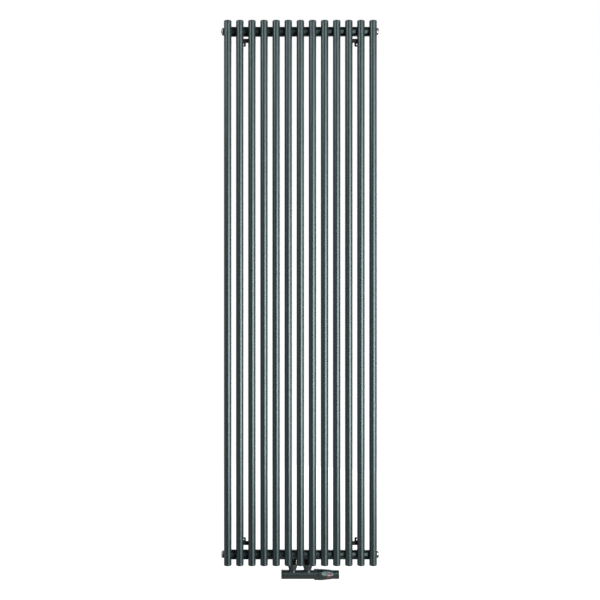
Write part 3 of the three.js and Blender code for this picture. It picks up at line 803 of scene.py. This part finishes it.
def seal_ring(node):
    """An O-ring."""
    section = size_mm(node).x / 2
    radius = size_mm(node).z / 2 - section
    out = outward(node)
    circle = arc((section, radius), section, 0, 345, 23)
    turned_node(node, "ring", RUBBER, "seal_rubber", out, circle, segments=72, loop=True)


def end_plug(node):
    """A domed plug with a turned step, a hexagon socket and its thread."""
    out = outward(node)
    length = size_mm(node).x
    radius = size_mm(node).z / 2
    flange = length - 7.4
    shank = PIPE_THREAD_RADIUS
    socket = 4.7
    deep = 5
    profile = [
        (0, 0), (0, shank - 1, 0.3), (1.2, shank, 0.3), (flange, shank), (flange, radius, 0.5),
        (length - 5.2, radius, 0.4), (length - 4.8, radius - 0.5, 0.3), (length - 4.2, radius - 0.5, 0.3),
        (length - 3.6, radius - 0.1, 0.4), (length - 1.4, radius - 1.3, 2.0), (length, radius - 4.2, 2.2),
        (length, socket + 0.5, 0.3), (length - 0.5, socket), (length - deep, socket), (length - deep, 0),
    ]
    cut = thread(0.8, flange - 1.2, PIPE_THREAD_PITCH, 0.9)

    def shape(angle, along, reach):
        if along > length - deep - 0.1 and reach <= socket:
            return reach * hexagon_factor(angle)
        return cut(angle, along, reach) if along < flange - 0.5 else reach

    turned_node(node, "body", NICKEL, "nickel", out, profile, segments=96, shape=shape, spacing=0.3)


def vent():
    """The air vent: a body, a fluted collar with the outlet that turns on it, and the bleed screw."""
    out = outward("vent_body")
    length = size_mm("vent_body").x
    radius = size_mm("vent_body").z / 2
    screw_radius = size_mm("vent_screw").z / 2
    shank = PIPE_THREAD_RADIUS
    neck = 6
    flange = length - 7.2
    ledge = length - 4.9
    profile = [
        (0, 1.5), (0, shank - 1, 0.3), (1.2, shank, 0.3), (flange, shank), (flange, radius, 0.4),
        (ledge, radius, 0.4), (ledge, neck), (length, neck, 0.4), (length, screw_radius + 0.3),
        (7, screw_radius + 0.3), (7, 1.5),
    ]
    cut = thread(0.8, flange - 1.2, PIPE_THREAD_PITCH, 0.9)

    def body_shape(angle, along, reach):
        return cut(angle, along, reach) if along < flange - 0.5 and reach > neck else reach

    turned_node("vent_body", "metal", NICKEL, "nickel", out, profile,
                segments=96, loop=True, shape=body_shape, spacing=0.3)

    collar_length = size_mm("vent_collar").x
    collar_radius = size_mm("vent_collar").z / 2
    bore = neck + 0.3
    cone = [
        (0, bore), (0, collar_radius, 0.3), (0.8, collar_radius - 0.2, 0.3), (collar_length, 8.6, 0.5),
        (collar_length, bore, 0.3),
    ]

    def flutes(angle, along, reach):
        if reach < bore + 0.4:
            return reach
        return reach - 0.28 * max(0, math.cos(20 * angle)) ** 2

    start = on_axis("vent_collar", out)
    collar = turned("vent_collar_metal", NICKEL, start, out, cone, 160, True, shape=flutes, spacing=0.5)
    outlet_origin = start + out * 1.8 * MM - Z * 15 * MM
    outlet = turned("outlet", None, outlet_origin, Z, solid((0, 0.9), (8, 0.9)), segments=24)
    replace(combine(collar, [outlet], "DIFFERENCE"), "nickel", "vent_collar")

    tip = size_mm("vent_screw").x
    pin = solid((0, 0.8), (2.7, screw_radius), (tip, screw_radius, 0.4))
    screw = turned("vent_screw_metal", NICKEL, on_axis("vent_screw", out), out, pin, segments=48)
    slot_origin = on_axis("vent_screw", -out) - Z * 5 * MM
    blade = turned("slot", None, slot_origin, Z, solid((0, 1.2), (10, 1.2)), segments=4)
    to_axis = Matrix.Translation((0, middle("vent_screw").y, 0))
    blade.data.transform(to_axis @ Matrix.Scale(0.45, 4, Y) @ to_axis.inverted())
    replace(combine(screw, [blade], "DIFFERENCE"), "nickel", "vent_screw")


# ---------------- unions

def nipple(node):
    """A threaded nipple with a chamfered hexagon collar."""
    length = size_mm(node).z
    bore = 7
    lower = 13.1
    collar_start = 12.2
    collar_end = collar_start + 6
    shank = PIPE_THREAD_RADIUS
    corner = 24 / math.sqrt(3)
    profile = [
        (0, bore + 0.8, 0.3), (0, lower - 1, 0.3), (1, lower, 0.3), (collar_start, lower),
        (collar_start, corner, 0.1), (collar_end, corner, 0.1), (collar_end, shank),
        (length - 1, shank), (length, shank - 1), (length, bore), (0.8, bore),
    ]
    lower_thread = thread(0.6, collar_start - 0.8, PIPE_THREAD_PITCH, 0.95)

    def shape(angle, along, reach):
        if collar_start <= along <= collar_end and reach > lower + 0.05:
            chamfer = min(along - collar_start, collar_end - along) * 1.7 + 12.6
            return min(reach * hexagon_factor(angle), chamfer)
        below = along < collar_start and reach > lower - 1.2
        return lower_thread(angle, along, reach) if below else reach

    # Finished in the darkened nickel, which is painted shade.
    turned_node(node, "metal", NIPPLE_NICKEL_PAINTED_SHADE, "nickel", Z, profile,
                segments=120, loop=True, shape=shape, spacing=0.3)


def union_seal(node):
    thickness = size_mm(node).z
    radius = size_mm(node).x / 2
    profile = [(0, 7, 0.3), (0, radius, 0.3), (thickness, radius, 0.3), (thickness, 7, 0.3)]
    turned_node(node, "ring", RUBBER, "seal_rubber", Z, profile, loop=True)


def union_nut(node):
    """A cone that widens upwards, with soft spanner flats round its wide end and a lip at the bottom."""
    length = size_mm(node).z
    widest = 16.5
    neck = 12.3
    bore = 10
    thread_bore = 13.4
    shoulder = 8.2
    flat = 15.5
    profile = [
        (0, bore, 0.3), (0, neck - 0.3, 0.4), (0.9, neck, 0.4), (length - 4, widest, 1.5),
        (length - 0.8, widest, 0.6), (length, widest - 1.1, 0.5), (length, thread_bore, 0.3),
        (shoulder, thread_bore, 0.2), (shoulder, bore),
    ]

    def shape(angle, along, reach):
        if reach <= thread_bore + 0.2:
            return reach
        return soft_min(reach, flat / math.cos(angle % (math.pi / 3) - math.pi / 6), 0.5)

    turned_node(node, "cone", VALVE_PAINT, "valve_paint", Z, profile,
                segments=144, loop=True, shape=shape, spacing=0.8)


# ---------------- valve body

def valve_casting():
    """The barrel, its tails and its rear ports as one casting with soft roots and machined bores."""
    low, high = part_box("valve_body")
    length = (high.x - low.x) / MM
    outer = solid((0, BARREL_RADIUS, 1.0), (length, BARREL_RADIUS, 1.0))
    barrel = turned("casting", VALVE_PAINT, on_valve_axis(low.x), X, outer, 96)
    limbs = []
    for foot in UNION_FEET:
        limbs.append(turned("tail", None, foot, Z, solid((4, 9.7), (TAIL_TOP - 3.2, 9.7))))
        limbs.append(turned("boss", None, foot, Z, solid((4, 12.0), (16.2, 12.0, 0.8))))
        limbs.append(turned("port", None, foot, Y, solid((4, 13.0), (19, 13.0))))
    combine(barrel, limbs, "UNION")
    remesh = barrel.modifiers.new("remesh", "REMESH")
    remesh.mode = "VOXEL"
    remesh.voxel_size = 0.55 * MM
    relax = barrel.modifiers.new("relax", "SMOOTH")
    relax.factor = 0.5
    relax.iterations = 14
    applied(barrel, 60)
    bores = []
    for foot in UNION_FEET:
        bores.append(turned("bore", None, foot, Y, solid((22, 6.2), (REAR_REACH + 1, 6.2)), 48))
        bores.append(turned("passage", None, foot, Z, solid((2, 6), (TAIL_TOP + 1, 6)), 48))
    centre = on_valve_axis(0)
    chamber = solid((4, 8), (14, 8), (14, 5), (19.5, 5))
    mouth = solid((19, 9), (34, 9), (34, 10), (length / 2 + 1, 10))
    for direction in (X, -X):
        bores.append(turned("chamber", None, centre, direction, chamber))
        bores.append(turned("mouth", None, centre, direction, mouth))
    combine(barrel, bores, "DIFFERENCE", 50)
    return barrel


def valve_body():
    """The casting with its two machined ends: the flanged tails and the threaded rear ports."""
    port_radius = 13.2
    tail = [(TAIL_TOP - 3.4, 6), (TAIL_TOP - 3.4, 12, 0.3), (TAIL_TOP, 12, 0.3), (TAIL_TOP, 6, 0.3)]
    port = [
        (18.5, 6.2), (18.5, port_radius, 0.3), (REAR_REACH - 1, port_radius, 0.2),
        (REAR_REACH, port_radius - 1, 0.3), (REAR_REACH, 7.6, 0.2), (REAR_REACH - 4, 6.25),
    ]
    shape = threaded(thread(20, REAR_REACH - 0.6, PIPE_THREAD_PITCH, 0.95), port_radius - 1.2)
    pieces = [valve_casting()]
    for foot in UNION_FEET:
        pieces.append(turned("tail_flange", BRASS, foot, Z, tail, loop=True))
        pieces.append(turned("port_thread", PORT_BRASS, foot, Y, port, 96, True, shape, spacing=0.3))
    replace(merged("valve_body_casting", pieces), "valve_paint", "valve_body")


# ---------------- thermostatic insert and head

def valve_piece(node, name, material, slot, profile, direction=X, **options):
    """A piece turned about the valve's axis, from the end that direction points away from."""
    low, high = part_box(node)
    start = on_valve_axis(low.x if direction == X else high.x)
    replace(turned(name, material, start, direction, profile, **options), slot, node)


def inside_pieces():
    """The pieces that the valve and the head hold inside."""
    body = [
        (0, 2.5, 0.2), (0, 8.6, 0.3), (4.3, 8.6), (4.3, 9.7, 0.3), (16.8, 9.7), (16.8, 14.7, 0.4),
        (26.2, 14.7, 0.2), (27, 13.9, 0.2), (27, 6, 0.3), (4.7, 6), (4.7, 2.5),
    ]
    valve_piece("insert_body", "insert_body_brass", BRASS, "brass", body, loop=True, spacing=0.25,
                shape=threaded(thread(17.6, 26.4, 1.5, 0.7), 13.8))
    gland = [(0, 2.3, 0.2), (0, 5.7, 0.3), (8.5, 5.7, 0.2), (9, 5.2, 0.2), (9, 2.3, 0.2)]
    valve_piece("insert_gland", "insert_gland_brass", BRASS, "brass", gland, loop=True)
    stem = solid(
        (0, 6.4, 0.3), (0.6, 7, 0.3), (3.4, 7, 0.4), (3.4, 2, 0.5), (25.1, 2, 0.2), (25.1, 5.2, 0.2),
        (26.7, 5.2, 0.2), (26.7, 2, 0.2), (41.2, 2, 0.2), (41.6, 1.6, 0.2),
    )
    valve_piece("insert_stem", "insert_stem_steel", NICKEL, "nickel", stem)
    carrier = [
        (0, 7, 0.3), (0, 14.7, 0.4), (2.4, 14.7, 0.4), (2.4, 12.2, 0.4), (38.7, 12.2, 0.4),
        (38.7, 9.3, 0.3), (16.7, 9.3), (16.7, 7),
    ]
    valve_piece("head_carrier", "head_carrier_plastic", WHITE_PLASTIC, "white_plastic", carrier,
                loop=True)
    capsule = solid(
        (0, 3, 0.4), (13.2, 3, 0.3), (13.2, 8, 0.3), (14.2, 9, 0.4), (41.2, 9, 0.8), (41.2, 5.9, 0.4),
        (55.2, 5.9, 0.4),
    )
    valve_piece("sensor_capsule", "sensor_capsule_body", WHITE_PLASTIC, "white_plastic", capsule,
                shape=threaded(thread(42, 54, 2.0, 0.6), 5), spacing=0.4)


def return_spring():
    """The insert's return spring, as a smooth helix of round wire with closed ends."""
    low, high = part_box("insert_spring")
    wire = 0.5
    turns = 4
    radius = (high.z - low.z) / MM / 2 - wire
    start = low.x / MM + wire
    pitch = ((high.x - low.x) / MM - 2 * wire) / turns
    steps = turns * 36
    centre = VALVE / MM
    points = []
    for i in range(steps + 1):
        angle = 2 * math.pi * turns * i / steps
        x = start + pitch * turns * i / steps
        spot = (x, centre.y + radius * math.cos(angle), centre.z + radius * math.sin(angle))
        points.append(Vector(spot))
    coil = from_faces("insert_spring_wire", *swept(points, X, lambda i: wire), SPRING_STEEL)
    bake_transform(coil)
    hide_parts("insert_spring")


def head_nut():
    """The ribbed ring that holds the head on."""
    grip = size_mm("head_nut").z / 2
    length = size_mm("head_nut").x
    skirt_start = length - 5.7
    bore = 15
    lip = 12.5
    profile = [
        (-0.3, bore, 0.4), (-0.3, grip - 0.9, 0.5), (0.7, grip, 0.5), (skirt_start, grip, 0.5),
        (skirt_start, 16.6), (length, 16.6, 0.4), (length, lip, 0.3), (length - 1.5, lip, 0.3),
        (length - 1.5, bore),
    ]
    ribs = 36

    def shape(angle, along, reach):
        if reach < 17.2 or not 1.2 < along < skirt_start - 0.6:
            return reach
        fade = min(1.0, (along - 1.2) / 0.8, (skirt_start - 0.6 - along) / 0.8)
        return reach - 0.45 * fade * max(0, math.sin(ribs * angle)) ** 1.5

    valve_piece("head_nut", "head_nut_ring", HEAD_PLASTIC, "head_plastic", profile,
                segments=ribs * 8, loop=True, shape=shape, spacing=0.6)


HEAD_STATIONS = (
    (0, 17.9), (0.9, 18.45), (6, 18.7), (13, 18.8), (20, 18.55), (26, 18.15), (32, 17.65), (38, 17.1),
    (42.5, 16.6), (48, 15.8), (50.5, 15.3), (52.4, 14.8),
)
DISH_MIDDLE = 35.6
DISH_HALF_LENGTH = 18
DISH_DEPTH = 1.5
DISH_ANGLES = tuple(math.radians(30 + 90 * i) for i in range(4))


def head_radius(along):
    """The head's radius at a station, on straight lines between the stations."""
    for (a, ra), (b, rb) in zip(HEAD_STATIONS, HEAD_STATIONS[1:]):
        if a <= along <= b:
            return ra + (rb - ra) * (along - a) / (b - a)
    return HEAD_STATIONS[-1][1]


def dished(angle, along, radius):
    """The head's radius where a flat thumb dish may cut into it."""
    inside = 1 - ((along - DISH_MIDDLE) / DISH_HALF_LENGTH) ** 2
    if inside <= 0:
        return radius
    flat = radius - DISH_DEPTH * inside ** 0.7
    for dish in DISH_ANGLES:
        turn = (angle - dish + math.pi) % (2 * math.pi) - math.pi
        if abs(turn) < math.pi / 4:
            radius = soft_min(radius, flat / math.cos(turn), 1.2)
    return radius


def head_handle():
    """The turning head: a bulged grip with thumb dishes, a step and a plain nose with a recess."""
    node = "head_handle"
    length = size_mm(node).x
    nose = 14.7
    wall = length - 2.8
    hub = 8.4
    hub_start = 52.4
    outer = [
        (0, 17, 0.2), (0, 17.9, 0.3), *HEAD_STATIONS[1:-1], (52.2, 14.95, 0.4), (53.0, 14.35, 0.2),
        (53.8, 14.35, 0.2), (54.3, nose, 0.3), (length - 1.2, nose, 0.6), (length, nose - 1.2, 0.6),
        (length, 11.6, 0.4), (length - 0.9, 10.8, 0.4), (length - 0.9, 0),
    ]
    inner = [
        (wall, 0), (wall, 6.4), (hub_start, 6.4, 0.2), (hub_start, hub, 0.2), (wall, hub), (wall, 12.6),
        (41.9, 12.6), (41.9, 14.6), (23.9, 14.6), (23.9, 16), (6.4, 16), (6.4, 17),
    ]
    points = divided(rounded(outer, False), False, 0.7) + rounded(inner, False)

    def shape(angle, along, reach):
        outside = along < 53 and reach > head_radius(along) - 0.4
        return dished(angle, along, reach) if outside else reach

    vertices, faces = revolve(points, on_valve_axis(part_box(node)[0].x), X, -Y, 192, True, shape)
    replace(from_faces("head_handle_shell", vertices, faces, HEAD_PLASTIC), "head_plastic", node)


def head_mark():
    """The red ring printed on the head, which lines up with the setting, and the pale dot inside it."""
    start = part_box("head_handle")[0].x / MM
    centre_along = 39.6
    centre_angle = math.radians(3)
    proud = 0.06
    steps = 56

    def on_head(u, v):
        along = centre_along + u
        angle = centre_angle + v / 17
        reach = dished(angle, along, head_radius(along)) + proud
        spot = Vector((start + along, VALVE.y / MM, VALVE.z / MM))
        return spot + Vector((0, -math.cos(angle), math.sin(angle))) * reach

    def band(name, material, radii):
        vertices = []
        for radius in radii:
            for k in range(steps):
                angle = 2 * math.pi * k / steps
                vertices.append(on_head(radius * 1.15 * math.cos(angle), radius * math.sin(angle)))
        obj = from_faces(name, vertices, ring_faces(len(radii), steps), material)
        thick = obj.modifiers.new("thick", "SOLIDIFY")
        thick.thickness = 0.12 * MM
        thick.offset = -1
        finish(applied(obj), "head_handle", "head_plastic")

    band("head_mark_ring", RED_INK, [7.4 - 0.4 * i for i in range(9)])
    band("head_mark_dot", PALE_INK, [2.4 - 0.34 * i for i in range(8)])


# ---------------- lockshield

def lockshield():
    """The left end of the valve: an insert, its threaded spindle, the closing cone and the cap."""
    def left_piece(node, name, profile, material=BRASS, slot="brass", **options):
        valve_piece(node, name, material, slot, profile, direction=-X, segments=96, **options)

    insert = [
        (0, 5.2, 0.3), (0, 9.7, 0.4), (12.5, 9.7), (12.5, 12.8, 0.4), (15.5, 12.8, 0.5), (15.5, 5.2, 0.4),
    ]
    left_piece("lockshield_insert", "lockshield_insert_brass", insert, loop=True)
    socket = 5 / math.sqrt(3)
    spindle = [
        (7.5, 0), (7.5, 3.1), (0, 3.1, 0.2), (0, 4.9, 0.4), (13, 4.9, 0.4), (13, socket + 0.3, 0.2),
        (12.7, socket), (9, socket), (9, 0),
    ]
    cut = threaded(thread(1, 8, 1.0, 0.35), 4)

    # The wall of the socket is rounded to a hair above socket, so it stays round.
    def spindle_shape(angle, along, reach):
        if along > 8.5 and reach <= socket:
            return reach * hexagon_factor(angle)
        return cut(angle, along, reach)

    left_piece("lockshield_spindle", "lockshield_spindle_brass", spindle,
               shape=spindle_shape, spacing=0.2)
    cone = solid((0, 3.5, 0.4), (3.3, 7, 0.4), (5.8, 7, 0.4), (5.8, 2.8, 0.3), (20.3, 2.8, 0.3))
    left_piece("lockshield_cone", "lockshield_cone_brass", cone)
    length = size_mm("lockshield_cap").x
    inside = BARREL_RADIUS - 1.7
    cap = [
        (length - 2, 0), (length - 2, inside, 0.6), (-0.2, inside, 0.3), (-0.2, BARREL_RADIUS - 0.4, 0.3),
        (0.2, BARREL_RADIUS, 0.2), (length - 1.4, BARREL_RADIUS, 0.8),
        (length - 0.2, BARREL_RADIUS - 1.2, 0.8), (length, BARREL_RADIUS - 3, 0.8), (length, 0),
    ]
    left_piece("lockshield_cap", "lockshield_cap_shell", cap, VALVE_PAINT, "valve_paint")


# ---------------- floor, light and camera

def studio():
    """A pale floor that fades into the white round it. Seen from below it is clear."""
    half = 6.0
    drop = 0.115
    ground = cad_box[0][2] - drop
    square = ((-half, -half), (half, -half), (half, half), (-half, half))
    corners = [Vector((x, y, ground)) for x, y in square]
    mesh = bpy.data.meshes.new("floor")
    mesh.from_pydata(corners, [], [(0, 1, 2, 3)])
    nodes = MaterialNodes("floor")
    speckle = nodes.noise(35.0, detail=3.0)
    nodes.set(
        Base_Color=nodes.colours(speckle, (0.3, (0.11, 0.11, 0.11)), (0.7, (0.13, 0.13, 0.13))),
        Emission_Color=nodes.colours(speckle, (0.3, (0.98, 0.98, 0.98)), (0.7, (0.99, 0.99, 0.99))),
        Emission_Strength=1.0,
        Roughness=nodes.between(speckle, 0.75, 0.85),
    )
    clear = nodes.add("ShaderNodeBsdfTransparent").outputs["BSDF"]
    underside = nodes.add("ShaderNodeNewGeometry").outputs["Backfacing"]
    cover = nodes.add("ShaderNodeMixShader", {"Fac": underside, 1: nodes.shader.outputs["BSDF"], 2: clear})
    nodes.put(nodes.tree.nodes["Material Output"].inputs["Surface"], cover.outputs["Shader"])
    floor = new_object("floor", mesh, nodes.material)
    floor.visible_diffuse = False
    floor.visible_glossy = False


def area_light(name, place, target, width, height, radiance, roll=0.0, colour=(1, 1, 1)):
    """A soft light panel. It rolls about the line to its target, by degrees."""
    light = bpy.data.lights.new(name, "AREA")
    light.shape = "RECTANGLE"
    light.size = width
    light.size_y = height
    light.energy = radiance * math.pi * width * height
    light.color = colour
    obj = bpy.data.objects.new(name, light)
    scene.collection.objects.link(obj)
    facing = (Vector(target) - Vector(place)).to_track_quat("-Z", "Y").to_matrix()
    turn = facing @ Matrix.Rotation(math.radians(roll), 3, "Z")
    obj.matrix_world = Matrix.Translation(place) @ turn.to_4x4()
    obj.visible_camera = False


def room():
    """White where the camera looks past the floor; to the object, a dim room, lit from its sides."""
    world = bpy.data.worlds.new("studio")
    world.use_nodes = True
    scene.world = world
    nodes = Nodes(world.node_tree)
    white = world.node_tree.nodes["Background"]
    nodes.put(white.inputs["Color"], (1, 1, 1, 1))
    nodes.put(white.inputs["Strength"], 1.0)
    view = nodes.add("ShaderNodeTexCoord").outputs["Generated"]
    direction = nodes.add("ShaderNodeSeparateXYZ", {"Vector": view})
    sideways = nodes.add("ShaderNodeMath", {0: direction.outputs["X"]}, operation="ABSOLUTE")
    strength = nodes.between(sideways.outputs["Value"], 0.025, 0.58, 0.3, 0.8)
    dim = nodes.add("ShaderNodeBackground", {"Color": (0.9, 0.97, 1.0, 1), "Strength": strength})
    seen = nodes.add("ShaderNodeLightPath").outputs["Is Camera Ray"]
    backgrounds = {"Fac": seen, 1: dim.outputs["Background"], 2: white.outputs["Background"]}
    mix = nodes.add("ShaderNodeMixShader", backgrounds)
    nodes.put(world.node_tree.nodes["World Output"].inputs["Surface"], mix.outputs["Shader"])


def lights():
    """Each panel: its name, place, target, width, height and radiance, in metres and linear units."""
    centre = (0, -0.085, 0)
    area_light("key", (1.75, -2.32, 0.0), centre, 2.4, 2.5, 4.8, roll=8)
    area_light("key_core", (1.5, -2.1, -0.2), centre, 0.5, 1.5, 10.5)
    area_light("key_low", (1.6, -2.15, -1.1), centre, 1.6, 1.0, 3.0)
    area_light("upper_right", (1.7, -2.1, 1.5), centre, 1.0, 0.8, 3.5)
    valve = (0, -0.06, -0.93)
    area_light("upper_front", (0.75, -2.6, 1.75), valve, 0.5, 0.45, 10.0)
    area_light("upper_left", (-2.2, -1.9, 1.9), centre, 1.2, 1.3, 5.2)
    warm = (1, 0.86, 0.78)
    area_light("floor_bounce", (0.05, -0.13, -1.05), (0.05, -0.12, -0.95), 0.3, 0.36, 0.45, colour=warm)
    area_light("back", (0.9, 2.2, 0.1), centre, 1.8, 2.8, 3.5)
    room()
    scene.view_settings.view_transform = "Standard"


def camera():
    """Straight on, a little left of the middle and level with the middle of the tubes."""
    distance = 3.0
    view_width = 1.982
    view_middle = (-0.0013, -0.0231)
    left = -0.12
    data = bpy.data.cameras.new("camera")
    data.sensor_width = 36
    data.lens = data.sensor_width * distance / view_width
    data.shift_x = (view_middle[0] - left) / view_width
    data.shift_y = view_middle[1] / view_width
    data.clip_end = 50
    obj = bpy.data.objects.new("camera", data)
    scene.collection.objects.link(obj)
    obj.location = (left, TUBE_Y * MM - distance, 0)
    obj.rotation_euler = (math.pi / 2, 0, 0)
    scene.camera = obj


# ---------------- the whole

camera()
studio()
lights()
for name in TUBES:
    tube(name)
headers()
for name in nodes_named("hanger_"):
    hanger(name)
    hanger_welds(name)
for name in nodes_named("wall_sleeve_"):
    wall_sleeve(name)
for name in nodes_named("grub_screw_"):
    grub_screw(name)
for name in nodes_named("end_seal_"):
    seal_ring(name)
for name in nodes_named("end_plug_"):
    end_plug(name)
vent()
for tag in ("left", "right"):
    nipple(f"nipple_{tag}")
    union_seal(f"union_seal_{tag}")
    union_nut(f"union_nut_{tag}")
valve_body()
inside_pieces()
return_spring()
head_nut()
head_handle()
head_mark()
lockshield()
